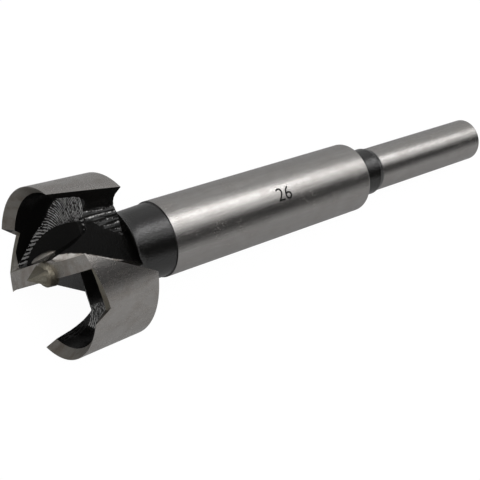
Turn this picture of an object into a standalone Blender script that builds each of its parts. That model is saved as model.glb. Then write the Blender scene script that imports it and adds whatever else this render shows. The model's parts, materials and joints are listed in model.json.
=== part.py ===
"""Forstner bit, 26 mm: a one-piece wood boring bit lying at rest on a flat floor.

The bit is turned about its own axis with the cutting face up, then milled by
two equal sets of cutters half a turn apart, then laid down by a parent empty.
Depth is measured down the axis from the front of the rim; "up" and "side" are
the two directions across it, and an angle is counted from "up" towards "side".
All sizes are millimetres until they are written into a mesh.
"""
import math

import bmesh
import bpy
from mathutils import Matrix, Vector

MM = 0.001

# The turned outline, front to back. Places across the head are those of the 26 mm
# bit of the series, and a bit of another size spreads them with its radius.
HEAD_RADIUS = 13.0
SPREAD = HEAD_RADIUS / 13.0
HEAD_TAPER = 0.035
HEAD_LENGTH = 10.9
NECK_RADIUS = 5.75
NECK_REAR_RADIUS = 6.0
BODY_RADIUS = 6.15
BODY_START = 19.2
BODY_END = 62.05
BODY_EDGE = 0.35
COLLAR_RADIUS = 4.3
COLLAR_END = 67.5
SHANK_RADIUS = 4.0
SHANK_END = 96.3
SHANK_EDGE = 0.3
HEAD_REAR_RADIUS = HEAD_RADIUS - HEAD_TAPER * HEAD_LENGTH
TURN_STEPS = 120

# The rim and the pocket behind it.
RIM_LAND = 0.07
RIM_THICKNESS = 1.25
BEVEL_DEPTH = 1.5
POCKET_RADIUS = HEAD_RADIUS - RIM_THICKNESS
POCKET_WALL_DEPTH = 3.6
POCKET_FLOOR_DEPTH = 6.8
POCKET_FLOOR_RADIUS = POCKET_RADIUS - 3.45
CORE_RADIUS = 8.4 * SPREAD
CORE_CENTRE = (-2.07, 0.6)
RAMP_DEPTH = 5.1
RAMP_SLOPE = 0.5
RAMP_END_SIDE = 2.2 * SPREAD

# The two lifters: the cutting edge lies nearly along "side", at "up" below zero.
EDGE_OUTER_ANGLE = 94.5
EDGE_INNER_UP = -1.15 * SPREAD
EDGE_INNER_SIDE = 3.6 * SPREAD
HEEL_DEPTH = 0.48
HEEL_OUTER_UP = 1.5 * SPREAD
HEEL_OUTER_SIDE = 12.8 * SPREAD
HEEL_INNER_UP = 1.45 * SPREAD
HEEL_INNER_SIDE = 3.7 * SPREAD
RELIEF_INNER_SIDE = 1.6
NOTCH_INNER_SIDE = 6.0 * SPREAD
NOTCH_DEPTH = 2.4
NOTCH_ANGLE = 56.3
RIM_START_ANGLE = 48.4
WEB_POINTS = ((0.5, 1.45, 0.0), (0.5, 1.55, 8.0), (4.5, 2.65, 0.0))
WEB_ROOT_POINTS = ((3.1, 2.35, 0.0), (3.1, 2.38, 8.0), (6.65, 4.26, 0.0))

# The lifters are ground one by one, and one comes out wider than the other.
HEEL_SHIFT = 0.42 * SPREAD

# The chip throat, as it leaves the head between a lifter and the next rim.
THROAT_LAG = 0.505
THROAT_REAR_DEPTH = 12.05
THROAT_REAR_ANGLE = 282.0
THROAT_RUNOUT = 0.62
RUNOUT_INSET = 0.03
FLANK_SIDE = 2.6 * SPREAD
FLANK_SLOPE = 0.09
RIM_END_ANGLE = 323.4
RIM_END_REAR_ANGLE = 313.3
SHOULDER_POINTS = ((6.92, 5.87, -3.22), (10.12, 3.43, -3.51), (8.14, 7.11, -3.82))

# The centre point.
POINT_HEIGHT = 3.2
POINT_BASE = 2.0
POINT_BASE_DEPTH = -0.55
POINT_BOSS_RADIUS = 2.0
POINT_BOSS_FRONT = -0.75
POINT_BOSS_DEPTH = 0.9

# How far a cutter runs past the metal it removes.
CLEAR = 2.0


def at(depth, up, side):
    """A point in the build frame: cutting face up, depth running down."""
    return Vector((up, side, -depth)) * MM


def on_head(depth, up, side):
    """A point of the head, spread across the axis with the size of the bit."""
    return at(depth, up * SPREAD, side * SPREAD)


def around(depth, radius, angle):
    """A point at a radius and an angle in degrees round the axis."""
    turn = math.radians(angle)
    return at(depth, radius * math.cos(turn), radius * math.sin(turn))


def head_radius(depth):
    """The outside radius of the head, which tapers towards the shank."""
    return HEAD_RADIUS - HEAD_TAPER * depth


def new_collection(name, parent):
    collection = bpy.data.collections.new(name)
    parent.children.link(collection)
    return collection


def new_object(name, mesh, collection):
    thing = bpy.data.objects.new(name, mesh)
    collection.objects.link(thing)
    return thing


def metal(name, colour, roughness):
    material = bpy.data.materials.new(name)
    material.use_nodes = True
    shader = material.node_tree.nodes["Principled BSDF"]
    shader.inputs["Base Color"].default_value = (*colour, 1.0)
    shader.inputs["Roughness"].default_value = roughness
    shader.inputs["Metallic"].default_value = 1.0
    return material


def turned(name, outline, collection, steps=TURN_STEPS, start=0.0):
    """Turn an outline of (radius, depth) pairs about the axis from an angle."""
    mesh = bpy.data.meshes.new(name)
    points = [around(depth, radius, start) for radius, depth in outline]
    lines = [(i, i + 1) for i in range(len(points) - 1)]
    mesh.from_pydata(points, lines, [])
    thing = new_object(name, mesh, collection)
    screw = thing.modifiers.new("turn", "SCREW")
    screw.axis = "Z"
    screw.angle = 2.0 * math.pi
    screw.steps = steps
    screw.render_steps = steps
    screw.use_merge_vertices = True
    screw.merge_threshold = 0.00001
    screw.use_normal_calculate = True
    return thing


def planed(name, cuts, collection, inset=0.0):
    """Plane a block down to the faces named by three points and a kept one."""
    mesh = bpy.data.meshes.new(name)
    shape = bmesh.new()
    bmesh.ops.create_cube(shape, size=2.0 * (HEAD_RADIUS + CLEAR + 1.0) * MM)
    for first, second, third, kept in cuts:
        normal = (second - first).cross(third - first).normalized()
        if normal.dot(kept - first) > 0.0:
            normal = -normal
        everything = shape.verts[:] + shape.edges[:] + shape.faces[:]
        place = first - normal * inset * MM
        result = bmesh.ops.bisect_plane(
            shape, geom=everything, plane_co=place, plane_no=normal, clear_outer=True
        )
        rim = [item for item in result["geom_cut"] if isinstance(item, bmesh.types.BMEdge)]
        if rim:
            bmesh.ops.contextual_create(shape, geom=rim)
    bmesh.ops.remove_doubles(shape, verts=shape.verts[:], dist=0.000002)
    bmesh.ops.recalc_face_normals(shape, faces=shape.faces[:])
    shape.to_mesh(mesh)
    shape.free()
    return new_object(name, mesh, collection)


def rod(name, radius, centre, depths, collection, sides=96):
    """A round bar beside the axis, between two depths."""
    mesh = bpy.data.meshes.new(name)
    shape = bmesh.new()
    front, rear = depths
    length = (rear - front) * MM
    place = Matrix.Translation(at((front + rear) / 2.0, *centre)) @ Matrix.Rotation(math.radians(2.3), 4, "Z")
    size = {"radius1": radius * MM, "radius2": radius * MM, "depth": length}
    bmesh.ops.create_cone(shape, cap_ends=True, segments=sides, matrix=place, **size)
    for face in shape.faces:
        face.smooth = len(face.verts) == 4
    shape.to_mesh(mesh)
    shape.free()
    return new_object(name, mesh, collection)


def boolean(thing, cutter, operation="DIFFERENCE"):
    modifier = thing.modifiers.new(f"{operation.lower()}_{cutter.name}", "BOOLEAN")
    modifier.operation = operation
    modifier.solver = "EXACT"
    modifier.object = cutter


def dish(share):
    """A radius on the head's dished back: 0 at the neck, 1 at the outer edge."""
    return NECK_RADIUS + share * (HEAD_REAR_RADIUS - NECK_RADIUS)


def make_blank(collection):
    """The whole bit as it leaves the lathe, before the head is milled."""
    back = HEAD_LENGTH
    outline = [
        (0.0, 0.0),
        (HEAD_RADIUS, 0.0),
        (HEAD_REAR_RADIUS + 0.01, back - 0.15),
        (HEAD_REAR_RADIUS - 0.15, back),
        (dish(0.743), back - 0.2),
        (dish(0.612), back - 0.1),
        (dish(0.488), back + 0.15),
        (dish(0.371), back + 0.5),
        (dish(0.226), back + 0.75),
        (dish(0.138), back + 0.95),
        (dish(0.066), back + 1.2),
        (dish(0.02), back + 1.6),
        (NECK_RADIUS, back + 2.6),
        (NECK_REAR_RADIUS, BODY_START - 0.15),
        (BODY_RADIUS, BODY_START),
        (BODY_RADIUS, BODY_END - BODY_EDGE),
        (BODY_RADIUS - BODY_EDGE, BODY_END),
        (COLLAR_RADIUS, BODY_END + 0.2),
        (COLLAR_RADIUS, COLLAR_END),
        (SHANK_RADIUS, COLLAR_END + 0.6),
        (SHANK_RADIUS, SHANK_END - SHANK_EDGE),
        (SHANK_RADIUS - SHANK_EDGE, SHANK_END),
        (0.0, SHANK_END),
    ]
    return turned("forstner_bit", outline, collection)


def edge_outer():
    """Outer end of the lifter's cutting edge."""
    return around(0.0, HEAD_RADIUS, EDGE_OUTER_ANGLE)


def edge_inner():
    return at(0.0, EDGE_INNER_UP, EDGE_INNER_SIDE)


def heel_outer(shift):
    return at(HEEL_DEPTH, HEEL_OUTER_UP + shift, HEEL_OUTER_SIDE)


def heel_inner(shift):
    return at(HEEL_DEPTH, HEEL_INNER_UP + shift, HEEL_INNER_SIDE)


def step_wall():
    """The steep wall between the notch and the start of the rim."""
    bottom = around(NOTCH_DEPTH, head_radius(NOTCH_DEPTH), NOTCH_ANGLE)
    top = around(0.0, HEAD_RADIUS, RIM_START_ANGLE)
    inner = around(BEVEL_DEPTH, POCKET_RADIUS, RIM_START_ANGLE)
    return bottom, top, inner, on_head(0.0, 0.0, 12.0)


def inner_end(side):
    """The inner end of a relief, square across the lifter."""
    return at(0.0, 0.0, side), at(1.0, 0.0, side), at(0.0, 1.0, side), at(0.0, 0.0, side + 1.0)


def make_relief(collection, shift):
    """Ground relief behind the cutting edge: a strip falling to the heel."""
    fall = (edge_outer(), edge_inner(), heel_outer(shift), on_head(-CLEAR, 0.0, 8.0))
    return planed("lifter_relief", [fall, inner_end(RELIEF_INNER_SIDE), step_wall()], collection)


def make_notch(collection, shift):
    """Second, steeper relief that dips below the rim between heel and rim."""
    deepest = around(NOTCH_DEPTH, head_radius(NOTCH_DEPTH), NOTCH_ANGLE)
    fall = (heel_outer(shift), heel_inner(shift), deepest, on_head(-CLEAR, 4.0, 12.0))
    return planed("rim_notch", [fall, inner_end(NOTCH_INNER_SIDE), step_wall()], collection)


def make_pocket(collection, shift):
    """The hollow behind the rim: a bowl less the core and the lifter's web."""
    bevel_run = (HEAD_RADIUS - RIM_LAND - POCKET_RADIUS) / BEVEL_DEPTH
    outline = [
        (0.0, -CLEAR),
        (HEAD_RADIUS - RIM_LAND + CLEAR * bevel_run, -CLEAR),
        (POCKET_RADIUS, BEVEL_DEPTH),
        (POCKET_RADIUS - 0.15, POCKET_WALL_DEPTH),
        (POCKET_FLOOR_RADIUS + 2.3, 5.0),
        (POCKET_FLOOR_RADIUS + 1.3, 6.0),
        (POCKET_FLOOR_RADIUS, POCKET_FLOOR_DEPTH),
        (0.0, POCKET_FLOOR_DEPTH),
    ]
    bowl = turned("rim_pocket", outline, collection, 96, 0.9)
    lean = at(0.0, shift, 0.0)
    web = (*(on_head(*point) + lean for point in WEB_POINTS), on_head(0.0, 10.0, 0.0))
    root = (*(on_head(*point) for point in WEB_ROOT_POINTS), on_head(0.0, 10.0, 0.0))
    boolean(bowl, planed("web_back", [web, root], collection), "INTERSECT")
    centre = [SPREAD * place for place in CORE_CENTRE]
    core = rod("core", CORE_RADIUS, centre, (-1.0, 9.0), collection)
    ramp = (
        on_head(RAMP_DEPTH, 0.0, 0.0),
        on_head(RAMP_DEPTH, 1.0, 0.0),
        on_head(RAMP_DEPTH + RAMP_SLOPE * 2.0, 0.0, -2.0),
        on_head(9.0, 0.0, 0.0),
    )
    end = -RAMP_END_SIDE
    ramp_end = (at(0.0, 0.0, end), at(1.0, 0.0, end), at(0.0, 1.0, end), on_head(0.0, 0.0, 4.0))
    boolean(core, planed("core_ramp", [ramp, ramp_end], collection), "INTERSECT")
    boolean(bowl, core)
    return bowl


def throat_end():
    """The end of the throat, nearly square to the axis."""
    middle = at(THROAT_REAR_DEPTH, 0.0, 0.0)
    return middle, middle + at(0.0, 0.0, -1.0), middle + at(0.2, -4.0, 0.0)


def runout_end():
    """The end of the run-out, which deepens from the neck's skin inwards."""
    skin = around(THROAT_REAR_DEPTH, NECK_RADIUS, THROAT_REAR_ANGLE)
    along = around(0.0, 1.0, THROAT_REAR_ANGLE + 90.0)
    inward = around(THROAT_RUNOUT, -1.0, THROAT_REAR_ANGLE)
    return skin, skin + along, skin + inward


def make_throat(name, end, collection, inset=0.0):
    """The chip throat beside the opposite lifter, as far as an end plane."""
    open_side = on_head(4.0, 4.0, -10.0)
    lip = around(0.0, HEAD_RADIUS, EDGE_OUTER_ANGLE + 180.0)
    inner = at(0.0, -EDGE_INNER_UP, -EDGE_INNER_SIDE)
    rake = (lip, inner, lip + on_head(8.0, -THROAT_LAG * 8.0, 0.0), open_side)
    fillet = (inner, inner + on_head(8.0, -2.0, 0.0), inner + on_head(0.0, -1.4, -2.0), open_side)
    flank = (
        at(0.0, 0.0, -FLANK_SIDE),
        at(0.0, 1.0, -FLANK_SIDE),
        at(10.0, 0.0, -FLANK_SIDE - 10.0 * FLANK_SLOPE),
        open_side,
    )
    lip_front = around(0.0, HEAD_RADIUS, RIM_END_ANGLE)
    lip_rear = around(HEAD_LENGTH, HEAD_REAR_RADIUS, RIM_END_REAR_ANGLE)
    rim_face = (lip_front, lip_rear, lip_front + on_head(0.0, -1.6, 4.0), open_side)
    shoulder = (*(on_head(*point) for point in SHOULDER_POINTS), open_side)
    rear = (*end, open_side)
    return planed(name, [rake, fillet, flank, rim_face, shoulder, rear], collection, inset)


def make_point(collection):
    """The four-sided centre point on its round boss."""
    mesh = bpy.data.meshes.new("centre_point")
    base = [around(POINT_BASE_DEPTH, POINT_BASE, angle) for angle in (30.0, 105.0, 210.0, 285.0)]
    apex = at(-POINT_HEIGHT, 0.0, 0.0)
    points = [corner[:] for corner in base] + [apex[:]]
    mesh.from_pydata(points, [], [(3, 2, 1, 0), (0, 1, 4), (1, 2, 4), (2, 3, 4), (3, 0, 4)])
    point = new_object("centre_point", mesh, collection)
    outline = [
        (0.0, POINT_BOSS_FRONT),
        (POINT_BOSS_RADIUS - 0.45, POINT_BOSS_FRONT),
        (POINT_BOSS_RADIUS - 0.1, POINT_BOSS_FRONT + 0.4),
        (POINT_BOSS_RADIUS, POINT_BOSS_DEPTH),
        (0.0, POINT_BOSS_DEPTH),
    ]
    boss = turned("point_boss", outline, collection, 48, 1.7)
    return boss, point


def rest_frame():
    """Lay the bit down on its shank end and the two lips of one throat."""
    front_lip = around(0.0, HEAD_RADIUS, EDGE_OUTER_ANGLE)
    rear_lip = around(HEAD_LENGTH - 0.15, HEAD_REAR_RADIUS, RIM_END_REAR_ANGLE - 180.0)
    shank_ring = SHANK_END - SHANK_EDGE
    down = ((front_lip + rear_lip) * 0.5).xy.to_3d().normalized()
    for _ in range(12):
        across = Vector((down.x, down.y, 0.0)).normalized()
        tail = at(shank_ring, 0.0, 0.0) + across * SHANK_RADIUS * MM
        normal = (rear_lip - front_lip).cross(tail - front_lip).normalized()
        down = normal if normal.dot(across) > 0.0 else -normal
    shankward = Vector((0.0, 0.0, -1.0))
    along = (shankward - down * shankward.dot(down)).normalized()
    upward = -down
    sideways = upward.cross(along)
    turn = Matrix((along, sideways, upward))
    height = -(turn @ front_lip).z
    return turn.to_4x4(), height


def mill_half(bit, collection, side_name, half_turn, shift):
    """Mill one half of the head: every cutter is swung round the axis alike."""
    cutters = new_collection(f"cutters_{side_name}", collection)
    tools = [
        make_relief(cutters, shift),
        make_notch(cutters, shift),
        make_throat("chip_throat", throat_end(), cutters),
        make_throat("throat_runout", runout_end(), cutters, RUNOUT_INSET),
        make_pocket(cutters, shift),
    ]
    for tool in tools:
        boolean(bit, tool)
    for tool in cutters.objects:
        tool.name = f"{tool.name.split('.')[0]}_{side_name}"
        tool.rotation_euler = (0.0, 0.0, half_turn)


def main():
    for thing in list(bpy.data.objects):
        bpy.data.objects.remove(thing, do_unlink=True)
    scene = bpy.context.scene
    parts = new_collection("forstner_bit", scene.collection)
    cutters = new_collection("cutters", scene.collection)
    steel = metal("bright_ground_steel", (0.56, 0.55, 0.53), 0.30)

    bit = make_blank(parts)
    bit.data.materials.append(steel)
    mill_half(bit, cutters, "left", 0.0, HEEL_SHIFT)
    mill_half(bit, cutters, "right", math.pi, -HEEL_SHIFT)
    for addition in make_point(cutters):
        boolean(bit, addition, "UNION")

    for tool in cutters.all_objects:
        tool.hide_render = True
        tool.display_type = "WIRE"

    rest = bpy.data.objects.new("rest_pose", None)
    parts.objects.link(rest)
    bit.parent = rest
    for tool in cutters.all_objects:
        tool.parent = rest
    turn, height = rest_frame()
    tip = (turn @ at(-POINT_HEIGHT, 0.0, 0.0)).x
    tail = (turn @ (at(SHANK_END, 0.0, 0.0))).x + (SHANK_RADIUS - SHANK_EDGE) * MM * abs(turn[0].xy.length)
    rest.matrix_world = Matrix.Translation((-(tip + tail) / 2.0, 0.0, height)) @ turn


main()
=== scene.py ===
# %% [markdown]
# # A forstner bit, ground bright and blackened in its hollows
#
# A forstner bit cuts flat-bottomed round holes in wood. It is one bar of steel that
# is turned, milled, blackened in an oxide bath and then ground bright again where it
# has to be exact: the rim, the lifters, the body and the shank.
#
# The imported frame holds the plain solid. This lesson makes the fine surface of the same
# tool around it, with the same sizes, gives it its finishes, and lights it.
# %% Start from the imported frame
import json
import math

import bmesh
import bpy
from mathutils import Matrix, Vector

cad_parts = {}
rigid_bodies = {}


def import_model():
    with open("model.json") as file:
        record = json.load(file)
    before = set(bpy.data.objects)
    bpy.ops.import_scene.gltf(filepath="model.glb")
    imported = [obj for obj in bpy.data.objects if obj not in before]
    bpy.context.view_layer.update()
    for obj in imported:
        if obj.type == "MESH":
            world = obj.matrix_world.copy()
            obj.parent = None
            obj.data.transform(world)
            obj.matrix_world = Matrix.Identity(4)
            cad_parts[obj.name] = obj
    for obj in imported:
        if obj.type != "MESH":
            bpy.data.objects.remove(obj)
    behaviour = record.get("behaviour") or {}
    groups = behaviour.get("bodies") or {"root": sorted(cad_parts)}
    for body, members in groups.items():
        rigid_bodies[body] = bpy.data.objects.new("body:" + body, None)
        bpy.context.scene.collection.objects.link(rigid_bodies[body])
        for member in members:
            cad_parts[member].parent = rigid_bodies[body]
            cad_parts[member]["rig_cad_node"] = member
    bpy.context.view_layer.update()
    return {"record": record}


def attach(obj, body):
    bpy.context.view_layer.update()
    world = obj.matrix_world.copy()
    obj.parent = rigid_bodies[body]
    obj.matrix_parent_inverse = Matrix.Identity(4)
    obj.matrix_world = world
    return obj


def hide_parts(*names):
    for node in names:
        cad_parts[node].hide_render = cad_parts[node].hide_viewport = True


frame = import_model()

scene = bpy.context.scene
MM = 0.001

# %% [markdown]
# ## The tool's own directions
#
# The bit lies tilted on a flat surface, so nothing on it runs along X, Y or Z. It could be
# drawn where it lies, but every plane would then need tilted numbers. So it is drawn
# upright, in millimetres, as it would stand on a lathe: the cutting face is up at height 0
# and depth runs down the axis. "Up" (u) and "side" (v) lie across the axis, and angles are
# counted from u towards v. One matrix lays the finished mesh down. It comes from the
# record, where the flat end of the shank gives the axis and the bit's far end.
# %% The matrix that lays the upright tool down
SHANK_END = 96.3
RESTS_AT = math.radians(109.88)  # the direction in which the head touches the table

mount = next(m for m in frame["record"]["mounts"] if m["name"] == "shank_end")
forward = -Vector(mount["axis"]).normalized()
skyward = (Vector((0, 0, 1)) - forward * forward.z).normalized()
sideways = forward.cross(skyward)
top_angle = RESTS_AT + math.pi
u_axis = skyward * math.cos(top_angle) - sideways * math.sin(top_angle)
v_axis = skyward * math.sin(top_angle) + sideways * math.cos(top_angle)
LAY_DOWN = Matrix((u_axis, v_axis, forward)).transposed().to_4x4()
LAY_DOWN.translation = Vector(mount["pos_m"]) + forward * SHANK_END * MM
print("axis of the bit:", [round(c, 4) for c in forward])


# %% [markdown]
# ## Turning
#
# Most of the bit comes off a lathe: an outline carried round an axis. A Screw modifier
# could do that, but the pocket needs fine steps only where its tool marks show, so a
# function takes the list of angles. Real turned edges are never quite sharp, and a rounded
# corner is what catches the light, so each point of an outline may carry a radius, which
# becomes a short arc.
# %% Points in the upright tool
def at(depth, up, side):
    return Vector((up, side, -depth))


def around(depth, radius, degrees):
    turn = math.radians(degrees)
    return at(depth, radius * math.cos(turn), radius * math.sin(turn))


print("2 mm down and 5 mm out at 90 degrees:", [round(c, 3) for c in around(2.0, 5.0, 90.0)])


# %% Round the corners of an outline
def rounded(points, arc_steps=5):
    """Outline points are (radius, depth) or (radius, depth, corner radius)."""
    result = []
    for index, point in enumerate(points):
        here = Vector(point[:2])
        if len(point) < 3:
            result.append(tuple(here))
            continue
        before = (Vector(points[index - 1][:2]) - here).normalized()
        after = (Vector(points[index + 1][:2]) - here).normalized()
        half = before.angle(after) / 2.0
        reach = point[2] / math.tan(half)
        start, end = here + before * reach, here + after * reach
        middle = here + (before + after).normalized() * (point[2] / math.sin(half))
        for step in range(arc_steps + 1):
            way = (start - middle).lerp(end - middle, step / arc_steps).normalized()
            result.append(tuple(middle + way * point[2]))
    return result


print("one rounded corner has", len(rounded([(0, 0), (1, 0, 0.1), (1, 1)])) - 2, "points")


# %% Turn an outline into a solid
def even_angles(steps, start=0.0):
    return [start + 360.0 * k / steps for k in range(steps)]


def turned(outline, angles):
    """A closed solid of revolution. The outline runs from axis to axis, front to back."""
    shape = bmesh.new()
    rings = []
    for radius, depth in outline:
        if radius < 1e-6:
            rings.append([shape.verts.new(at(depth, 0.0, 0.0))])
        else:
            rings.append([shape.verts.new(around(depth, radius, angle)) for angle in angles])
    for upper, lower in zip(rings, rings[1:]):
        for k in range(len(angles)):
            corners = [upper[k % len(upper)], lower[k % len(lower)]]
            corners += [lower[(k + 1) % len(lower)], upper[(k + 1) % len(upper)]]
            shape.faces.new(list(dict.fromkeys(corners)))
    bmesh.ops.recalc_face_normals(shape, faces=shape.faces[:])
    return shape


print("one turn in 72 steps:", even_angles(72)[1], "degrees each")


# %% [markdown]
# ## Finishes as numbered slots
#
# On the real bit a finish ends exactly where a cut ends. That could be painted with masks,
# but a mask is never as sharp as an edge. Here each cutter carries the finish that its cut
# leaves behind, and a Boolean hands the cutter's material on to the faces that it makes.
# %% Name the finishes
FINISHES = (
    "bright_ground_steel", "rim_steel", "rim_bevel_steel", "lifter_steel", "point_steel",
    "black_oxide", "blasted_neck", "milled_hollow", "streaked_shoulder", "flank_skin",
    "etched_mark",
)
finish = {name: bpy.data.materials.new(name) for name in FINISHES}
print(len(finish), "finishes")


# %% Objects, evaluated meshes and cuts
def solid(name, shape, finish_names):
    """Turn a bmesh into an object with the named finishes as its slots."""
    mesh = bpy.data.meshes.new(name)
    shape.to_mesh(mesh)
    shape.free()
    thing = bpy.data.objects.new(name, mesh)
    scene.collection.objects.link(thing)
    for finish_name in finish_names:
        mesh.materials.append(finish[finish_name])
    return thing


def baked(thing):
    """Replace an object's mesh by its evaluated one and drop the modifiers."""
    bpy.context.view_layer.update()
    seen = thing.evaluated_get(bpy.context.evaluated_depsgraph_get())
    mesh = bpy.data.meshes.new_from_object(seen)
    thing.modifiers.clear()
    thing.data = mesh
    return thing


def cut(thing, cutter, operation="DIFFERENCE"):
    """Add a Boolean that keeps the cutter's finish on the faces it leaves."""
    step = thing.modifiers.new("cut", "BOOLEAN")
    step.operation = operation
    step.solver = "EXACT"
    step.material_mode = "TRANSFER"
    step.object = cutter
    return step


# %% [markdown]
# ## The blank
#
# Everything outside the head is turned: the tapered head, the black neck that grows out
# of its dished back, the bright body, a black collar and the 8 mm shank. It could be five
# cylinders joined, but a lathe makes it in one outline, and so does this cell. The ground
# areas were blackened first and then ground through, so the black ends at the steps.
# %% The outline of the blank
HEAD_RADIUS = 13.0
HEAD_TAPER = 0.035
HEAD_LENGTH = 10.9
HEAD_REAR_RADIUS = HEAD_RADIUS - HEAD_TAPER * HEAD_LENGTH
NECK_RADIUS = 5.75
BODY_RADIUS = 6.15
BODY_START = 19.2
BODY_END = 62.05
COLLAR_END = 67.5
SHANK_RADIUS = 4.0

blank_outline = rounded([
    (0.0, 0.0),
    (HEAD_RADIUS, 0.0),
    (HEAD_REAR_RADIUS, HEAD_LENGTH, 0.14),
    (10.85, HEAD_LENGTH - 0.2),  # the dished back of the head
    (9.95, HEAD_LENGTH - 0.1),
    (9.1, HEAD_LENGTH + 0.15),
    (8.3, HEAD_LENGTH + 0.5, 0.6),
    (7.3, HEAD_LENGTH + 0.75, 0.6),
    (6.7, HEAD_LENGTH + 0.95, 0.5),
    (6.2, HEAD_LENGTH + 1.2, 0.5),
    (5.9, HEAD_LENGTH + 1.6, 1.0),
    (NECK_RADIUS, HEAD_LENGTH + 2.6, 2.0),
    (5.95, BODY_START - 0.35),
    (5.98, BODY_START - 0.1),
    (BODY_RADIUS, BODY_START, 0.04),
    (BODY_RADIUS, BODY_END, 0.33),
    (4.5, BODY_END + 0.1),  # the collar
    (4.22, BODY_END + 0.35),
    (4.12, BODY_END + 2.2),
    (4.3, COLLAR_END - 0.6, 0.4),
    (SHANK_RADIUS, COLLAR_END + 0.5, 0.3),
    (SHANK_RADIUS, SHANK_END, 0.3),
    (0.0, SHANK_END),
])
print("outline of the blank:", len(blank_outline), "points")

# %% Turn the blank and say where it is black
BRIGHT, BLACK_SKIN, RIM = range(3)

blank_shape = turned(blank_outline, even_angles(288))
for face in blank_shape.faces:
    middle = face.calc_center_median()
    depth, radius = -middle.z, middle.xy.length
    on_neck = HEAD_LENGTH - 0.06 < depth < BODY_START + 0.03
    on_dished_back = depth > 10.0 and 6.3 < radius < 12.3
    on_collar = BODY_END + 0.02 < depth < COLLAR_END + 0.3
    if on_neck or on_dished_back or on_collar:
        face.material_index = BLACK_SKIN
    else:
        face.material_index = RIM if depth < HEAD_LENGTH else BRIGHT
bit = solid("forstner_bit_fine", blank_shape, ["bright_ground_steel", "blasted_neck", "rim_steel"])
print("blank:", len(bit.data.polygons), "faces")


# %% [markdown]
# ## Milling
#
# A milled face is flat, so its cutter can be a block planed down to a few planes. Modelling
# each block by hand would hide the sizes. Here each plane is given by three points measured
# on the real head, one point on the side that stays part of the cutter, and a finish.
# %% Plane a block down to named faces
def planed(name, cuts, inset=0.0, reach=16.0):
    """A cube of twice the reach, cut along each plane. The inset moves all planes inwards."""
    shape = bmesh.new()
    bmesh.ops.create_cube(shape, size=2.0 * reach)
    names = []
    for (first, second, third, kept), finish_name in cuts:
        if finish_name not in names:
            names.append(finish_name)
        normal = (second - first).cross(third - first).normalized()
        if normal.dot(kept - first) > 0.0:
            normal = -normal
        result = bmesh.ops.bisect_plane(
            shape, geom=shape.verts[:] + shape.edges[:] + shape.faces[:],
            plane_co=first - normal * inset, plane_no=normal, clear_outer=True,
        )
        rim = [item for item in result["geom_cut"] if isinstance(item, bmesh.types.BMEdge)]
        made = bmesh.ops.contextual_create(shape, geom=rim)["faces"] if rim else []
        for face in made:
            face.material_index = names.index(finish_name)
    bmesh.ops.remove_doubles(shape, verts=shape.verts[:], dist=0.002)
    bmesh.ops.recalc_face_normals(shape, faces=shape.faces[:])
    return solid(name, shape, names)


# %% Points that several cuts share
EDGE_ANGLE = 94.5
EDGE_OUTER = around(0.0, HEAD_RADIUS, EDGE_ANGLE)  # the lifter's cutting edge
EDGE_INNER = at(0.0, -1.15, 3.6)
HEEL_OUTER = at(0.48, 1.5, 12.8)  # where its relief ends
HEEL_INNER = at(0.48, 1.45, 3.7)
HEEL_SHIFT = 0.42
NOTCH_DEPTH = 2.4
NOTCH_BOTTOM = around(NOTCH_DEPTH, HEAD_RADIUS - HEAD_TAPER * NOTCH_DEPTH, 56.3)
RIM_START = 48.4
RIM_LAND = 0.07
BEVEL_DEPTH = 1.5
POCKET_RADIUS = 11.75
STEP_WALL = (
    NOTCH_BOTTOM, around(0.0, HEAD_RADIUS, RIM_START),
    around(BEVEL_DEPTH, POCKET_RADIUS, RIM_START), at(0, 0, 12),
)
RELIEF_END = (at(0, 0, 1.6), at(1, 0, 1.6), at(0, 1, 1.6), at(0, 0, 8))
NOTCH_END = (at(0, 0, 6), at(1, 0, 6), at(0, 1, 6), at(0, 0, 8))
print("cutting edge:", round((EDGE_OUTER - EDGE_INNER).length, 2), "mm long")


# %% [markdown]
# ## Nodes as plain expressions
#
# Tool marks and finishes are formulas. Placing and linking their nodes one by one hides
# the formula, so a small class wraps a node socket: every operator adds the Math node that
# it stands for. A second class wraps a node tree and makes any other node in one call.
# %% A socket that can be added and multiplied
class Value:
    def __init__(self, nodes, socket):
        self.nodes, self.socket = nodes, socket

    def maths(self, operation, *others):
        return self.nodes.add("ShaderNodeMath", enumerate((self, *others)), operation=operation)[0]

    def __add__(self, other):
        return self.maths("ADD", other)

    def __sub__(self, other):
        return self.maths("SUBTRACT", other)

    def __rsub__(self, other):
        return self.maths("MULTIPLY", -1.0) + other

    def __mul__(self, other):
        return self.maths("MULTIPLY", other)

    def __truediv__(self, other):
        return self.maths("DIVIDE", other)

    def __rtruediv__(self, other):
        return self.nodes.add("ShaderNodeMath", {0: other, 1: self}, operation="DIVIDE")[0]

    def __gt__(self, other):
        return self.maths("GREATER_THAN", other)

    __radd__, __rmul__ = __add__, __mul__

    def ramp(self, low, high):
        """0 at low and 1 at high, with soft ends."""
        sockets = {"Value": self, "From Min": low, "From Max": high}
        return self.nodes.add("ShaderNodeMapRange", sockets, interpolation_type="SMOOTHSTEP")[0]


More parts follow.
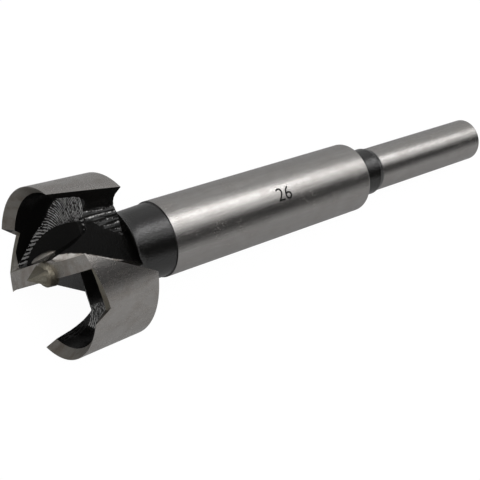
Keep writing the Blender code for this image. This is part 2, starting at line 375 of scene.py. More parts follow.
# %% A node tree that is written in
class Nodes:
    def __init__(self, tree):
        self.tree = tree
        tree.nodes.clear()

    def feed(self, socket, value):
        if isinstance(value, Value):
            self.tree.links.new(value.socket, socket)
        else:
            socket.default_value = value

    def new(self, kind, sockets=(), **settings):
        made = self.tree.nodes.new(kind)
        for key, value in settings.items():
            setattr(made, key, value)
        for key, value in dict(sockets).items():
            self.feed(made.inputs[key], value)
        return made

    def add(self, kind, sockets=(), **settings):
        """Make a node and give its outputs."""
        return [Value(self, out) for out in self.new(kind, sockets, **settings).outputs]

    def noise(self, place, scale, detail=2.0, roughness=0.5, seed=0.0):
        sockets = {"Vector": place, "Scale": scale, "Detail": detail, "Roughness": roughness}
        return self.add("ShaderNodeTexNoise", {**sockets, "W": seed}, noise_dimensions="4D")[0]

    def separate(self, vector):
        return self.add("ShaderNodeSeparateXYZ", {0: vector})


# %% A tree with named inputs, and a tree put to work
def new_tree(name, inputs):
    """An empty modifier tree with a Geometry input, the named inputs and a Geometry output."""
    group = bpy.data.node_groups.new(name, "GeometryNodeTree")
    group.is_modifier = True
    sockets = [("Geometry", "Geometry", "INPUT")]
    sockets += [(label, kind, "INPUT") for label, kind in inputs]
    sockets += [("Geometry", "Geometry", "OUTPUT")]
    for label, kind, direction in sockets:
        group.interface.new_socket(name=label, in_out=direction, socket_type="NodeSocket" + kind)
    return Nodes(group)


def shaped(thing, nodes, values):
    """Run a tree on an object, with its inputs set by identifier before it is evaluated."""
    inputs = [item for item in nodes.tree.interface.items_tree if item.in_out == "INPUT"]
    identifiers = {item.name: item.identifier for item in inputs}
    step = thing.modifiers.new(nodes.tree.name, "NODES")
    step.node_group = nodes.tree
    for name, value in values.items():
        step[identifiers[name]] = value
    return baked(thing)


# %% [markdown]
# ## Tool marks that repeat: Geometry Nodes
#
# The milled hollows are not smooth. The small cutter that cleared them left ribs, and the
# steel between them is torn. A bump map could fake that, but the ribs are coarse enough to
# cast shade. So the marks are put on the cutter as real relief, before it cuts, and they
# end sharply at every neighbouring face. A Geometry Nodes tree pushes the points out along
# their normals by a row of ribs and a grain. The cutter brings three attributes: "rough"
# (how far the marks show, 0 to 1), "marks" (where in the pattern a point lies) and "level"
# (how bare the steel is there). The tree stores one more for the finish, "crest". It sits
# on the faces' corners, because a Boolean hands a cutter's corner values on, but not the
# values of its points.
# %% Build the tool-mark tree
RIB_WANDER = 7.0  # how far the ribs bend, in radians of their wave
RIB_TONE, GRAIN_TONE = 0.22, 3.2  # what ribs and grain add to the crest
SHOWS_FROM = 0.35

marks = new_tree("tool_marks", [
    ("Rib Height", "Float"), ("Ribs", "Float"), ("Grain Height", "Float"),
    ("Grain Size", "Float"), ("Seed", "Float"), ("Finish", "Material"),
])
given = marks.add("NodeGroupInput")
geometry, rib_height, rib_count, grain_height, grain_size, seed, skin = given[:7]


def attribute(name, data_type="FLOAT"):
    return marks.add("GeometryNodeInputNamedAttribute", {"Name": name}, data_type=data_type)[0]


rough, place, level = attribute("rough"), attribute("marks", "FLOAT_VECTOR"), attribute("level")
bend = (marks.noise(place, 0.8, seed=seed) - 0.5) * RIB_WANDER
wave = (marks.separate(place)[0] * rib_count + bend).maths("SINE")
pits = (marks.noise(place, 1.0 / grain_size, seed=seed) - 0.5) * grain_height
push = (wave * rib_height + pits) * rough
crest = (wave * RIB_TONE + pits * GRAIN_TONE) * rough + level
outward = marks.add("GeometryNodeInputNormal")[0]
offset = marks.add("ShaderNodeVectorMath", {0: outward, "Scale": push}, operation="SCALE")[0]
stored = marks.add(
    "GeometryNodeStoreNamedAttribute", {"Geometry": geometry, "Name": "crest", "Value": crest},
    data_type="FLOAT", domain="CORNER",
)[0]
moved = marks.add("GeometryNodeSetPosition", {"Geometry": stored, "Offset": offset})[0]
real = marks.add("GeometryNodeRealizeInstances", {"Geometry": moved})[0]
painted = marks.add(
    "GeometryNodeSetMaterial", {"Geometry": real, "Selection": rough > SHOWS_FROM, "Material": skin}
)[0]
marks.add("NodeGroupOutput", {"Geometry": painted})
print("tool_marks:", len(marks.tree.nodes), "nodes")


# %% Put the marks on a cutter
def with_marks(thing, rough_of, place_of, level_of, values):
    """The three functions give each vertex's attributes from its position."""
    mesh = thing.data
    level_layer = mesh.attributes.new("level", "FLOAT", "POINT")
    rough_layer = mesh.attributes.new("rough", "FLOAT", "POINT")
    place_layer = mesh.attributes.new("marks", "FLOAT_VECTOR", "POINT")
    for vertex in mesh.vertices:
        rough_layer.data[vertex.index].value = rough_of(vertex.co)
        place_layer.data[vertex.index].vector = place_of(vertex.co)
        level_layer.data[vertex.index].value = level_of(vertex.co)
    return shaped(thing, marks, values)


# %% [markdown]
# ## The pocket behind the rim
#
# The pocket is a bowl. Its mouth is the rim's ground bevel, then comes a smooth black
# wall, and a wide fillet takes the wall down to the floor. A raised core stands in it,
# topped by a black ramp, and the lifter's web closes it on one side. The real cutter
# left these parts standing, so they are taken out of the bowl before the bowl cuts the bit.
# On one half a small bead of bright steel sits in the valley beside the web: a painted highlight
# for the gloss on the black oxide there.
# %% Where the marks lie in the bowl
RAMP_SIDE = -28.0  # degrees; beyond it the bowl meets the ramp's low end
LIFTER_SIDE = (78.0, 81.0)  # degrees between which the marks fade before the lifter
CALM = ((33.0, 38.0), (52.0, 58.0), (6.3, 6.7))  # a calmer patch: from, to, and how deep


def ramp(value, low, high):
    t = min(1.0, max(0.0, (value - low) / (high - low)))
    return t * t * (3.0 - 2.0 * t)


def angle_of(p):
    return math.degrees(math.atan2(p.y, p.x))


def torn(p):
    """How far the marks show: they begin deep behind the rim and rise beside the lifter."""
    depth, degrees = -p.z, angle_of(p)
    begins = 6.2 - 4.1 * min(1.05, max(0.0, (degrees - 20.0) / 54.0)) ** 2.6
    if degrees < RAMP_SIDE:
        begins = 2.0
    shows = ramp(depth, begins - 0.15, begins + 0.15) * (1.0 - ramp(degrees, *LIFTER_SIDE))
    calm_from, calm_to, calm_depth = CALM
    calm = ramp(degrees, *calm_from) * (1.0 - ramp(degrees, *calm_to))
    calm *= 1.0 - ramp(depth, *calm_depth)
    return shows * (1.0 - 0.55 * calm)


def bareness(p):
    """How bare the steel is on the whole: darker on the side away from the lifter."""
    degrees = angle_of(p)
    return 0.06 if degrees < RAMP_SIDE else 0.46 + 0.1 * ramp(degrees, 40.0, 60.0)


def torn_place(p):
    """Ribs lie along the bit's radius, but square to the lifter at the end of the ramp."""
    if p.y < -1.9 and p.x < 6.4:
        return Vector((p.x * 0.785, p.y * 1.5, 9.0))
    return Vector((angle_of(p) / 6.0, p.xy.length, -p.z))


print("marks show at 60 degrees, 5 mm deep:", round(torn(around(5.0, 11.0, 60.0)), 2))

# %% The bowl
WALL_LENGTH, WALL_DRAFT, WALL_STEPS = 2.1, 0.15, 12
WALL_END = 3.6
FILLET_RADIUS, FILLET_WIDTH, FILLET_HEIGHT, FILLET_STEPS = 8.3, 3.3, 3.2, 30
FLOOR_STEP, FLOOR_STEPS = 0.22, 27
POCKET_FLOOR_DEPTH = 6.8
FINE_ANGLES = [-48.0 + 0.5 * k for k in range(288)]  # where the marks show
COARSE_ANGLES = [96.0 + 3.0 * k for k in range(72)]
BOWL_MARKS = {
    "Rib Height": 0.035, "Ribs": 12.5, "Grain Height": 0.3, "Grain Size": 0.6, "Seed": 3.0,
}


def bowl():
    mouth = HEAD_RADIUS - RIM_LAND
    bevel_run = (mouth - POCKET_RADIUS) / BEVEL_DEPTH
    outline = [(0.0, -2.0), (mouth + 2.0 * bevel_run, -2.0), (POCKET_RADIUS, BEVEL_DEPTH)]
    for k in range(1, WALL_STEPS + 1):
        depth = BEVEL_DEPTH + WALL_LENGTH * k / WALL_STEPS
        outline.append((POCKET_RADIUS - WALL_DRAFT * k / WALL_STEPS, depth))
    for k in range(1, FILLET_STEPS + 1):
        turn = math.radians(90.0 * k / FILLET_STEPS)
        radius = FILLET_RADIUS + FILLET_WIDTH * math.cos(turn) ** 0.8
        outline.append((radius, WALL_END + FILLET_HEIGHT * math.sin(turn)))
    for k in range(1, FLOOR_STEPS + 1):
        outline.append((FILLET_RADIUS - FLOOR_STEP * k, POCKET_FLOOR_DEPTH))
    outline.append((0.0, POCKET_FLOOR_DEPTH))
    shape = turned(outline, FINE_ANGLES + COARSE_ANGLES)
    for face in shape.faces:
        face.material_index = 0 if -face.calc_center_median().z < BEVEL_DEPTH else 1
    thing = solid("rim_pocket", shape, ["rim_bevel_steel", "black_oxide"])
    values = {**BOWL_MARKS, "Finish": finish["milled_hollow"]}
    return with_marks(thing, torn, torn_place, bareness, values)


print("bowl:", len(FINE_ANGLES), "fine and", len(COARSE_ANGLES), "coarse steps round")


# %% What is left standing in the bowl
CORE_RADIUS = 8.4
CORE_CENTRE = (-2.07, 0.6)
CORE_TURN = math.radians(2.3)
RAMP_DEPTH = 5.1
RAMP_SLOPE = 0.5
RAMP_END_SIDE = 2.2
# Place and size of the bead whose bright steel is a painted highlight in the black valley.
HIGHLIGHT_BEAD_CENTRE = (2.8, 2.0, 4.75)
HIGHLIGHT_BEAD_RADII = (0.76, 0.76, 2.6)


def make_core():
    """The raised core: a rod planed down to a ramp that ends in a short wall."""
    shape = bmesh.new()
    place = Matrix.Translation(at(4.0, *CORE_CENTRE)) @ Matrix.Rotation(CORE_TURN, 4, "Z")
    bmesh.ops.create_cone(
        shape, cap_ends=True, segments=240, radius1=CORE_RADIUS, radius2=CORE_RADIUS,
        depth=10.0, matrix=place,
    )
    core = solid("core", shape, ["black_oxide"])
    low = at(RAMP_DEPTH + RAMP_SLOPE * 2.0, 0, -2)
    slope = (at(RAMP_DEPTH, 0, 0), at(RAMP_DEPTH, 1, 0), low, at(9, 0, 0))
    wall = [at(depth, up, -RAMP_END_SIDE) for depth, up in ((0, 0), (1, 0), (0, 1))]
    cuts = [(slope, "black_oxide"), ((*wall, at(0, 0, 4)), "milled_hollow")]
    cut(core, planed("core_ramp", cuts), "INTERSECT")
    return baked(core)


def make_highlight_bead(shift):
    """A smooth swelling in the valley between the ramp and the web, in bright steel: a painted
    highlight for the gloss on the black oxide there.
    """
    depth, up, side = HIGHLIGHT_BEAD_CENTRE
    valley = at(-0.5, -0.15, 1.0).normalized()
    turn = Vector((0, 0, 1)).rotation_difference(valley).to_matrix().to_4x4()
    stretch = Matrix.Diagonal((*HIGHLIGHT_BEAD_RADII, 1.0))
    place = Matrix.Translation(at(depth, up + shift, side)) @ turn @ stretch
    shape = bmesh.new()
    bmesh.ops.create_uvsphere(shape, u_segments=48, v_segments=32, radius=1.0, matrix=place)
    # Its bright steel finish is a painted highlight on the black oxide of the valley.
    return solid("valley_bead", shape, ["rim_bevel_steel"])


print("core:", 2.0 * CORE_RADIUS, "mm across")


# %% The whole pocket
WEB_POINTS = ((0.5, 1.45, 0.0), (0.5, 1.55, 8.0), (4.5, 2.65, 0.0))
WEB_ROOT_POINTS = ((3.1, 2.35, 0.0), (3.1, 2.38, 8.0), (6.65, 4.26, 0.0))


def make_pocket(shift):
    """All of these leave the bowl in one Boolean, which is steadier than a chain of them."""
    pocket = bowl()
    below = at(0.0, -10.0, 0.0)
    web = (*(at(*point) + at(0.0, shift, 0.0) for point in WEB_POINTS), below)
    root = (*(at(*point) for point in WEB_ROOT_POINTS), below)
    parts = [
        make_core(),
        planed("web", [(web, "black_oxide")], reach=17.0),
        planed("web_root", [(root, "black_oxide")], reach=18.0),
    ]
    # Only one half gets the bead, a painted highlight of bright steel in the black valley.
    if shift > 0.0:
        parts.append(make_highlight_bead(shift))
    kept = bpy.data.collections.new("left_standing")
    for part in parts:
        kept.objects.link(part)
    step = cut(pocket, None)
    step.operand_type = "COLLECTION"
    step.collection = kept
    return baked(pocket)


print("pocket:", POCKET_FLOOR_DEPTH, "mm deep")


# %% [markdown]
# ## The chip throat
#
# Each lifter has a slanted throat in front of it that carries the shavings out over the
# neck. Flat planes bound it, so it is planed. Where it runs out on the neck, a second,
# shallower block follows the first. The shoulder between the flank and the rim's end is
# left as the rough end mill tore it, in long streaks along the bit. Streaks need points to
# move, so that face belongs to a block with a fine grid on top.
# %% A block with one torn face
GRID_ALONG, GRID_ACROSS = 80, 320
STREAKS = {"Rib Height": 0.02, "Ribs": 5.0, "Grain Height": 0.3, "Grain Size": 0.5, "Seed": 8.0}
STREAK_WIDTH, STREAK_LENGTH = 1.5, 0.25  # how fast the pattern runs across and along
STREAK_LEVEL = 0.34


def torn_block(name, corner, along, across, size):
    """A block whose top is a grid through a corner, spanned by two directions."""
    unit_along = along.normalized()
    across = (across - along * across.dot(unit_along)).normalized()
    along = unit_along
    into = along.cross(across)
    shape = bmesh.new()
    lengths = [size * i / GRID_ALONG for i in range(GRID_ALONG + 1)]
    widths = [size * j / GRID_ACROSS for j in range(GRID_ACROSS + 1)]
    grid = [[shape.verts.new(corner + along * a + across * b) for b in widths] for a in lengths]
    for i in range(GRID_ALONG):
        for j in range(GRID_ACROSS):
            shape.faces.new((grid[i][j], grid[i + 1][j], grid[i + 1][j + 1], grid[i][j + 1]))
    rim = [edge for edge in shape.edges if edge.is_boundary]
    down = bmesh.ops.extrude_edge_only(shape, edges=rim)["geom"]
    lowered = [item for item in down if isinstance(item, bmesh.types.BMVert)]
    bmesh.ops.translate(shape, verts=lowered, vec=into * size)
    bottom = [edge for edge in shape.edges if edge.is_boundary]
    bmesh.ops.contextual_create(shape, geom=bottom)
    bmesh.ops.recalc_face_normals(shape, faces=shape.faces[:])

    def on_top(p):
        return 1.0 if abs((p - corner).dot(into)) < 0.01 else 0.0

    def streaked_place(p):
        away = p - corner
        return Vector((away.dot(across) * STREAK_WIDTH, away.dot(along) * STREAK_LENGTH, 0.0))

    return with_marks(
        solid(name, shape, ["black_oxide"]), on_top, streaked_place, lambda p: STREAK_LEVEL,
        {**STREAKS, "Finish": finish["streaked_shoulder"]},
    )


print("torn face:", GRID_ALONG * GRID_ACROSS, "squares")


# %% The throat's planes
THROAT_LAG = 0.505  # how far the lifter's face leans back, in mm for each mm of depth
THROAT_REAR_DEPTH = 12.05
THROAT_REAR_ANGLE = 282.0
THROAT_RUNOUT = 0.62
RUNOUT_FRONT, RUNOUT_INSET = 11.9, 0.03
RIM_END = 323.4
RIM_END_REAR = 313.3
SHOULDER_POINTS = ((6.92, 5.87, -3.22), (10.12, 3.43, -3.51), (8.14, 7.11, -3.82))
SHOULDER = [at(*point) for point in SHOULDER_POINTS]
SHOULDER_BLOCK = 32.0
OPEN_SIDE = at(4.0, 4.0, -10.0)


def throat_planes():
    lip = around(0.0, HEAD_RADIUS, EDGE_ANGLE + 180.0)
    inner = at(0.0, -EDGE_INNER.x, -EDGE_INNER.y)
    rake = (lip, inner, lip + at(8.0, -THROAT_LAG * 8.0, 0.0), OPEN_SIDE)
    fillet = (inner, inner + at(8.0, -2.0, 0.0), inner + at(0.0, -1.4, -2.0), OPEN_SIDE)
    flank = (at(0, 0, -2.6), at(0, 1, -2.6), at(10, 0, -3.5), OPEN_SIDE)
    rim_front = around(0.0, HEAD_RADIUS, RIM_END)
    rim_rear = around(HEAD_LENGTH, HEAD_REAR_RADIUS, RIM_END_REAR)
    rim_face = (rim_front, rim_rear, rim_front + at(0.0, -1.6, 4.0), OPEN_SIDE)
    return [
        (rake, "lifter_steel"), (fillet, "lifter_steel"),
        (flank, "flank_skin"), (rim_face, "black_oxide"),
    ]


def make_throat():
    middle = at(THROAT_REAR_DEPTH, 0, 0)
    rear = (middle, middle + at(0, 0, -1), middle + at(0.2, -4, 0), OPEN_SIDE)
    throat = planed("chip_throat", throat_planes() + [(rear, "black_oxide")])
    first, second, third = SHOULDER
    normal = (second - first).cross(third - first).normalized()
    if normal.dot(OPEN_SIDE - first) < 0.0:
        normal = -normal
    axis = at(1.0, 0.0, 0.0)
    along = (axis - normal * axis.dot(normal)).normalized()
    across = normal.cross(along)
    corner = first - along * (SHOULDER_BLOCK / 2.0) - across * (SHOULDER_BLOCK / 2.0)
    cut(throat, torn_block("shoulder", corner, along, across, SHOULDER_BLOCK), "INTERSECT")
    return baked(throat)


def make_runout():
    """The throat's end, which rises gently out of the neck."""
    skin_point = around(THROAT_REAR_DEPTH, NECK_RADIUS, THROAT_REAR_ANGLE)
    tangent = around(0.0, 1.0, THROAT_REAR_ANGLE + 90.0)
    rising = skin_point + around(THROAT_RUNOUT, -1.0, THROAT_REAR_ANGLE)
    rear = (skin_point, skin_point + tangent, rising, OPEN_SIDE)
    front = [at(RUNOUT_FRONT, up, side) for up, side in ((0, 0), (1, 0), (0, 1))]
    ends = [rear, (*front, at(13.0, 0, 0)), (*SHOULDER, OPEN_SIDE)]
    cuts = throat_planes() + [(plane, "black_oxide") for plane in ends]
    return planed("throat_runout", cuts, RUNOUT_INSET)


print("throat:", len(throat_planes()), "planes, down to", THROAT_REAR_DEPTH, "mm")


# %% [markdown]
# ## Both halves
#
# The head repeats after half a turn. A mirror would swap left and right, so each cutter is
# made for one half and swung half a turn round the axis for the other. The lifters are
# ground one by one, though, and one comes out wider than the other: its heel is shifted.
# %% Mill the head
for half, shift in enumerate((HEEL_SHIFT, -HEEL_SHIFT)):
    heel_outer, heel_inner = HEEL_OUTER + at(0.0, shift, 0.0), HEEL_INNER + at(0.0, shift, 0.0)
    relief = (EDGE_OUTER, EDGE_INNER, heel_outer, at(-2.0, 0.0, 8.0))
    notch = (heel_outer, heel_inner, NOTCH_BOTTOM, at(-2.0, 4.0, 12.0))
    relief_cuts = [
        (relief, "lifter_steel"), (RELIEF_END, "lifter_steel"), (STEP_WALL, "black_oxide"),
    ]
    notch_cuts = [
        (notch, "point_steel"), (NOTCH_END, "lifter_steel"), (STEP_WALL, "rim_bevel_steel"),
    ]
    tools = [planed("lifter_relief", relief_cuts), planed("rim_notch", notch_cuts)]
    tools += [make_throat(), make_runout(), make_pocket(shift)]
    for tool in tools:
        tool.rotation_euler = (0.0, 0.0, math.pi * half)
        cut(bit, tool)
    baked(bit)
    print("half", half, "milled:", len(bit.data.polygons), "faces")

# %% [markdown]
# ## The centre point
#
# The point guides the bit before the rim bites. On the real tool it is ground with four
# faces on a short round boss. A cone would be quicker, but its edges are what you see, so
# the point is a four-sided pyramid with its corners where the grinding left them.
# %% Add the point and its boss
POINT_HEIGHT, POINT_BASE, POINT_BASE_DEPTH = 3.2, 2.0, -0.55
POINT_ANGLES = (30.0, 105.0, 210.0, 285.0)
BOSS_OUTLINE = [(0.0, -0.75), (1.55, -0.75, 0.12), (1.9, -0.35, 0.2), (2.0, 0.9), (0.0, 0.9)]

point_shape = bmesh.new()
foot = [point_shape.verts.new(around(POINT_BASE_DEPTH, POINT_BASE, a)) for a in POINT_ANGLES]
tip = point_shape.verts.new(at(-POINT_HEIGHT, 0.0, 0.0))
point_shape.faces.new(foot[::-1])
for k in range(4):
    point_shape.faces.new((foot[k], foot[(k + 1) % 4], tip))
bmesh.ops.recalc_face_normals(point_shape, faces=point_shape.faces[:])
point = solid("centre_point", point_shape, ["point_steel"])
boss = solid("point_boss", turned(rounded(BOSS_OUTLINE), even_angles(72, 1.7)), ["point_steel"])
for addition in (boss, point):
    cut(bit, addition, "UNION")
baked(bit)
print("with its point:", len(bit.data.polygons), "faces")

# %% [markdown]
# ## The size, etched into the body
#
# The body carries its size in millimetres. Figures could be a picture on the surface, but
# a second tree keeps them sharp at any distance: it writes them, fills their outlines,
# gives them a thickness and wraps them round the body. They are then cut in.
# %% A tree that wraps figures round a cylinder
etch = new_tree("etched_figures", [
    ("Text", "String"), ("Figure Height", "Float"), ("Radius", "Float"),
    ("Depth Along", "Float"), ("Angle", "Float"), ("Thickness", "Float"), ("Finish", "Material"),
])
_, text, size, radius, depth_along, angle, thickness, skin = etch.add("NodeGroupInput")[:8]
curves = etch.add(
    "GeometryNodeStringToCurves", {"String": text, "Size": size, "Character Spacing": 1.02},
    align_x="CENTER", align_y="MIDDLE",
)[0]
outlines = etch.add("GeometryNodeRealizeInstances", {0: curves})[0]
filled = etch.add("GeometryNodeFillCurve", {0: outlines})[0]
upwards = etch.add("ShaderNodeCombineXYZ", {"Z": thickness})[0]
raised = etch.add(
    "GeometryNodeExtrudeMesh",
    {"Mesh": filled, "Offset": upwards, "Offset Scale": 1.0, "Individual": False},
)[0]
underside = etch.add("GeometryNodeFlipFaces", {"Mesh": filled})[0]
both = etch.new("GeometryNodeJoinGeometry")
for part in (raised, underside):
    etch.feed(both.inputs[0], part)
joined = Value(etch, both.outputs[0])
closed = etch.add("GeometryNodeMergeByDistance", {"Geometry": joined, "Distance": 0.0005})[0]
flat_x, flat_y, flat_z = etch.separate(etch.add("GeometryNodeInputPosition")[0])
swing = angle + flat_y / radius
out = (radius + flat_z) - thickness / 2.0
wrapped = etch.add("ShaderNodeCombineXYZ", {
    "X": out * swing.maths("COSINE"), "Y": out * swing.maths("SINE"),
    "Z": (depth_along + flat_x) * -1.0,
})[0]
laid = etch.add("GeometryNodeSetPosition", {"Geometry": closed, "Position": wrapped})[0]
real = etch.add("GeometryNodeRealizeInstances", {"Geometry": laid})[0]
painted = etch.add("GeometryNodeSetMaterial", {"Geometry": real, "Material": skin})[0]
etch.add("NodeGroupOutput", {"Geometry": painted})
print("etched_figures:", len(etch.tree.nodes), "nodes")

# %% Write the size and cut it in
figures = shaped(solid("size_mark", bmesh.new(), ["etched_mark"]), etch, {
    "Text": "26", "Figure Height": 3.25, "Radius": BODY_RADIUS, "Depth Along": 42.03,
    "Angle": math.radians(274.8), "Thickness": 0.1, "Finish": finish["etched_mark"],
})
print("figures:", len(figures.data.polygons), "faces")
cut(bit, figures)
baked(bit)

# %% [markdown]
# ## Laying the bit down
#
# The finished mesh goes to its place in the frame, in metres. The object itself stays at
# the origin, unturned, so the matrix goes into the mesh. Faces are shaded smooth except
# across real edges; then the plain solid is hidden and the fine bit hangs on the frame's body.
# %% Lay it down and clear the bench
SHARP_FROM = math.radians(26.0)

TO_FRAME = LAY_DOWN @ Matrix.Scale(MM, 4)
bit.data.transform(TO_FRAME)
bit.data.polygons.foreach_set("use_smooth", [True] * len(bit.data.polygons))
bit.data.set_sharp_from_angle(angle=SHARP_FROM)
meshes = [thing for thing in scene.objects if thing.type == "MESH" and thing is not bit]
for thing in meshes:
    if "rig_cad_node" not in thing:
        bpy.data.objects.remove(thing)
bit.data.calc_loop_triangles()
print("fine bit:", len(bit.data.loop_triangles), "triangles")
print("its finishes:", [m.name for m in bit.data.materials])
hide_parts("forstner_bit")
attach(bit, "root")


# %% [markdown]
# ## Where on the bit a pattern lies
#
# Grinding lines run round the axis and streaks run along it. A UV map could carry them,
# but cutting breaks it up. Object coordinates don't break, so every pattern is placed in
# the upright tool's millimetres, and a Mapping node undoes the laying down.
# %% One finish: a tree that ends in a shader
class Paint(Nodes):
    def __init__(self, material):
        material.use_nodes = True
        super().__init__(material.node_tree)
        self.shader = self.new("ShaderNodeBsdfPrincipled")
        self.surface = Value(self, self.shader.outputs[0])
        self.output = self.new("ShaderNodeOutputMaterial", {"Surface": self.surface})

    def mix(self, factor, first, second):
        first, second = ((*c, 1.0) if isinstance(c, tuple) else c for c in (first, second))
        return self.add("ShaderNodeMix", {0: factor, 6: first, 7: second}, data_type="RGBA")[2]

    def stretch(self, place, factors):
        return self.add("ShaderNodeVectorMath", {0: place, 1: factors}, operation="MULTIPLY")[0]

    def bump(self, height, distance, strength=0.8):
        sockets = {"Height": height, "Distance": distance, "Strength": strength}
        return self.add("ShaderNodeBump", sockets)[0]

    def set(self, **sockets):
        for name, value in sockets.items():
            self.feed(self.shader.inputs[name.replace("_", " ")], value)


# %% The upright tool's coordinates inside a material
def tool_place(paint):
    sockets = {
        "Vector": paint.add("ShaderNodeTexCoord")[3],
        "Location": TO_FRAME.inverted().translation,
        "Rotation": LAY_DOWN.to_3x3().inverted().to_euler(),
        "Scale": [1.0 / MM] * 3,
    }
    return paint.add("ShaderNodeMapping", sockets, vector_type="POINT")[0]


# %% [markdown]
# ## Bright ground steel
#
# Ground steel is a mirror with a grain: very fine lines round the axis, a faint mottle
# from the wheel, and a few brown-grey smudges where hands and oil have been. One plain
# metal would look like plastic foil, so stretched noises make each of these in turn, and
# the same recipe serves every bright face with its own colour, gloss and dirt.
# %% Bright steel
STREAK_SHADE = 0.84
SMUDGE_TINT = (0.56, 0.49, 0.44)


def bright_steel(name, colour, roughness, smudge, grain_depth):
    paint = Paint(finish[name])
    place = tool_place(paint)
    rings = paint.noise(paint.stretch(place, (0.25, 0.25, 9.0)), 1.0, 3.0, 0.6)
    streaks = paint.noise(paint.stretch(place, (2.6, 2.6, 0.16)), 1.0, 3.0, 0.6, 7.0)
    grain = paint.noise(place, 6.0, 2.0, 0.6, 2.0)
    cloud = paint.noise(place, 0.42, 4.0, 0.6, 5.0)
    dull = (cloud * 0.6 + streaks * 0.2 + grain * 0.2).ramp(0.42, 0.64)
    shaded = tuple(STREAK_SHADE * c for c in colour)
    smudged = tuple(c * tint for c, tint in zip(colour, SMUDGE_TINT))
    tone = paint.mix((streaks * 0.6 + grain * 0.4).ramp(0.32, 0.68), shaded, colour)
    paint.set(
        Base_Color=paint.mix(dull * smudge, tone, smudged), Metallic=1.0,
        Roughness=(grain - 0.5) * 0.12 + dull * 0.06 + roughness,
        Normal=paint.bump(rings * 0.5 + grain + streaks * 0.4, grain_depth, 0.5),
    )
    return len(paint.tree.nodes)


# Name, colour, roughness, how much smudge, and the depth of the grain in metres.
for row in (
    ("bright_ground_steel", (0.50, 0.485, 0.47), 0.2, 0.2, 0.00007),
    ("rim_steel", (0.52, 0.50, 0.48), 0.24, 0.4, 0.00004),
    ("rim_bevel_steel", (0.32, 0.305, 0.28), 0.34, 0.8, 0.00012),
    ("lifter_steel", (0.52, 0.50, 0.475), 0.28, 0.85, 0.0001),
    ("point_steel", (0.25, 0.235, 0.19), 0.36, 0.7, 0.0002),
):
    print(row[0], bright_steel(*row), "nodes")

# %% [markdown]
# ## Black oxide
#
# The oxide is a thin glossy black skin over blasted steel. Plain black would show no form,
# so the skin is nearly black where it faces nothing bright and keeps a sharp, faint gloss.
# In the milled hollows the crests are rubbed bare: "crest" is the value that the tool-mark
# tree stored, and where it is high, black gives way to grey steel. The throat's flank is
# black too, and ground bright below a curved line that its grinding wheel left.
# %% Black oxide
BLACK = (0.0035, 0.0034, 0.0032)


def black_skin(name, grain_scale, grain_depth, roughness=0.12, gloss=0.08):
    paint = Paint(finish[name])
    grain = paint.noise(tool_place(paint), grain_scale, 1.0)
    paint.set(
        Base_Color=(*BLACK, 1.0), Specular_IOR_Level=gloss, Roughness=roughness,
        Normal=paint.bump(grain, grain_depth),
    )
    return len(paint.tree.nodes)


# Name, scale and depth of the grain, and then roughness and gloss.
for row in (
    ("black_oxide", 4.5, 0.00005),
    ("blasted_neck", 4.4, 0.00007, 0.05, 0.8),
    ("etched_mark", 4.5, 0.00005, 0.5),
):
    print(row[0], black_skin(*row), "nodes")

# %% Hollows rubbed bare on their crests
TORN_GRAIN_DEPTH = 0.00004


def rubbed_skin(name, low, high, bare_colour, metal):
    """Black below a crest of low and bare above high."""
    paint = Paint(finish[name])
    grain = paint.noise(tool_place(paint), 4.0, 3.0, 0.65)
    crest = paint.add("ShaderNodeAttribute", attribute_name="crest")[2]
    bare = (crest + (grain - 0.5) * 0.9).ramp(low, high)
    paint.set(
        Base_Color=paint.mix(bare, BLACK, bare_colour), Metallic=bare * metal,
        Roughness=0.22, Specular_IOR_Level=0.3, Normal=paint.bump(grain, TORN_GRAIN_DEPTH),
    )
    return len(paint.tree.nodes)


for row in (
    ("milled_hollow", 0.47, 0.63, (0.52, 0.515, 0.51), 0.25),
    ("streaked_shoulder", 0.53, 0.76, (0.45, 0.445, 0.44), 0.35),
):
    print(row[0], rubbed_skin(*row), "nodes")

# %% The flank, ground bright below a curved line
paint = Paint(finish["flank_skin"])
place = tool_place(paint)
up, side, height = paint.separate(place)
depth = height * -1.0
own_up = up * (1.0 - 2.0 * (side > 0.0))  # the other half's flank lies half a turn round
grain = paint.noise(place, 4.0, 3.0, 0.65)
cloud = paint.noise(place, 0.8, 3.0, 0.6, 5.0)
line = 2.11 + depth * (0.126 - depth * (0.0757 - depth * 0.00305))
ground = (line - own_up + (grain - 0.5) * 0.5).ramp(-0.06, 0.1)
steel = paint.mix(cloud.ramp(0.35, 0.65), (0.27, 0.245, 0.22), (0.46, 0.44, 0.42))
paint.set(
    Base_Color=paint.mix(ground, BLACK, steel), Metallic=ground, Specular_IOR_Level=0.08,
    Roughness=ground * 0.18 + 0.12, Normal=paint.bump(grain, 0.00007),
)
print("flank_skin", len(paint.tree.nodes), "nodes")

# %% [markdown]
# ## The table
#
# The bit lies on a plain white table. Enough light to burn it white would burn the steel
# too, so the table is only a pale grey that also glows, and only where the camera looks at
# it. It keeps the soft shadow under the bit, and the steel reflects the grey.
# %% The table
TABLE_GREY = 0.38
GLOW, GLOW_SHARE = 1.12, 0.86

table_shape = bmesh.new()
bmesh.ops.create_grid(table_shape, x_segments=1, y_segments=1, size=2.0)
finish["white_table"] = bpy.data.materials.new("white_table")
table = solid("white_table", table_shape, ["white_table"])
paint = Paint(finish["white_table"])
paint.set(Base_Color=(TABLE_GREY, TABLE_GREY, TABLE_GREY, 1.0), Roughness=0.9)
is_camera = paint.add("ShaderNodeLightPath")[0]
glow = paint.add("ShaderNodeEmission", {"Color": (1.0, 1.0, 1.0, 1.0), "Strength": GLOW})[0]
lit = paint.add("ShaderNodeMixShader", {0: is_camera * GLOW_SHARE, 1: paint.surface, 2: glow})[0]
paint.feed(paint.output.inputs["Surface"], lit)
print("table:", table.dimensions.x, "m wide")

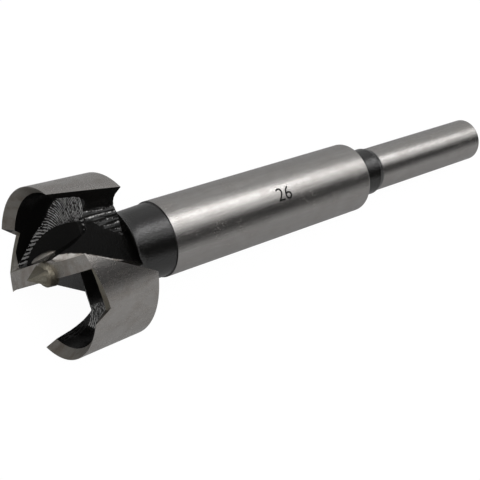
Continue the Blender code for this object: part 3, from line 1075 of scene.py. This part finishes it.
# %% [markdown]
# ## The studio
#
# Steel shows what stands around it. Area lamps could light it, but their reflections are
# hard to place on a thin round bar. So the studio is in the world's shader, as a function
# of the angle round the bit: a pale room, a wide panel overhead, a narrow lamp in it that
# draws the bright streak along the body, and a dark gap beside it. Only reflections see
# these. The camera sees plain white, and soft light is even from all sides.
# %% The studio around it
# Degrees round the bit: where each begins, is full, starts to fade and has gone.
PANEL = (50.0, 58.0, 98.0, 112.0)
LAMP = (69.0, 73.0, 75.0, 79.0)
GAP = (104.0, 126.0, 150.0, 176.0)
ROOM, ROOM_FALLS_BY, PANEL_LIGHT, LAMP_LIGHT, GAP_TAKES = 0.47, 0.15, 0.72, 4.4, 0.92
SOFT_LIGHT = -0.35  # the even light is this far below the white that the camera sees


def between(value, start, full, fade, end):
    """1 from full to fade, with soft flanks out to start and end."""
    return value.ramp(start, full) * (1.0 - value.ramp(fade, end))


world = bpy.data.worlds.new("studio")
scene.world = world
world.use_nodes = True
sky = Nodes(world.node_tree)
x, y, z = sky.separate(sky.add("ShaderNodeTexCoord")[0])
round_the_bit = z.maths("ARCTAN2", y) * (180.0 / math.pi)
panel, lamp, gap = (between(round_the_bit, *edges) for edges in (PANEL, LAMP, GAP))
far = 1.0 - 0.4 * x.ramp(0.74, 0.82)
room = ROOM - ROOM_FALLS_BY * x.ramp(0.2, -0.5)
studio = (room + panel * far * PANEL_LIGHT + lamp * far * LAMP_LIGHT) * (1.0 - gap * GAP_TAKES)
is_diffuse, is_glossy = sky.add("ShaderNodeLightPath")[2:4]
strength = is_glossy * (studio - 1.0) + 1.0 + is_diffuse * SOFT_LIGHT
light = sky.add("ShaderNodeBackground", {"Color": (1.0, 1.0, 1.0, 1.0), "Strength": strength})[0]
sky.new("ShaderNodeOutputWorld", {"Surface": light})
print("studio:", len(sky.tree.nodes), "nodes")

# %% One soft lamp for the shadow
key = bpy.data.objects.new("soft_key", bpy.data.lights.new("soft_key", "AREA"))
key.data.shape = "DISK"
key.data.size = 0.5
key.data.energy = 1.6
key.location = (-0.15, -0.25, 0.6)
key.rotation_euler = (-key.location).to_track_quat("-Z", "Y").to_euler()
scene.collection.objects.link(key)
print("soft_key:", key.data.energy, "W")

# %% [markdown]
# ## The camera
#
# The camera stands close, above the cutting end, so the head looks large and the shank
# runs away from it. Its place and lens were found by fitting a pinhole camera to the rim's
# ellipse and to the outlines of head, body and shank. Guessing by eye never gets both.
# %% The camera
PICTURE_WIDTH, FOCAL_LENGTH = 480.0, 994.6  # both in pixels
SENSOR = 36.0

camera = bpy.data.objects.new("camera", bpy.data.cameras.new("camera"))
camera.location = (-0.09858, -0.044729, 0.141306)
camera.rotation_euler = [math.radians(a) for a in (29.1073, -21.6092, -31.4777)]
camera.data.sensor_width = SENSOR
camera.data.lens = SENSOR * FOCAL_LENGTH / PICTURE_WIDTH
camera.data.clip_start = 0.005
scene.collection.objects.link(camera)
scene.camera = camera
scene.view_settings.view_transform = "Standard"
print("lens:", round(camera.data.lens, 1), "mm")
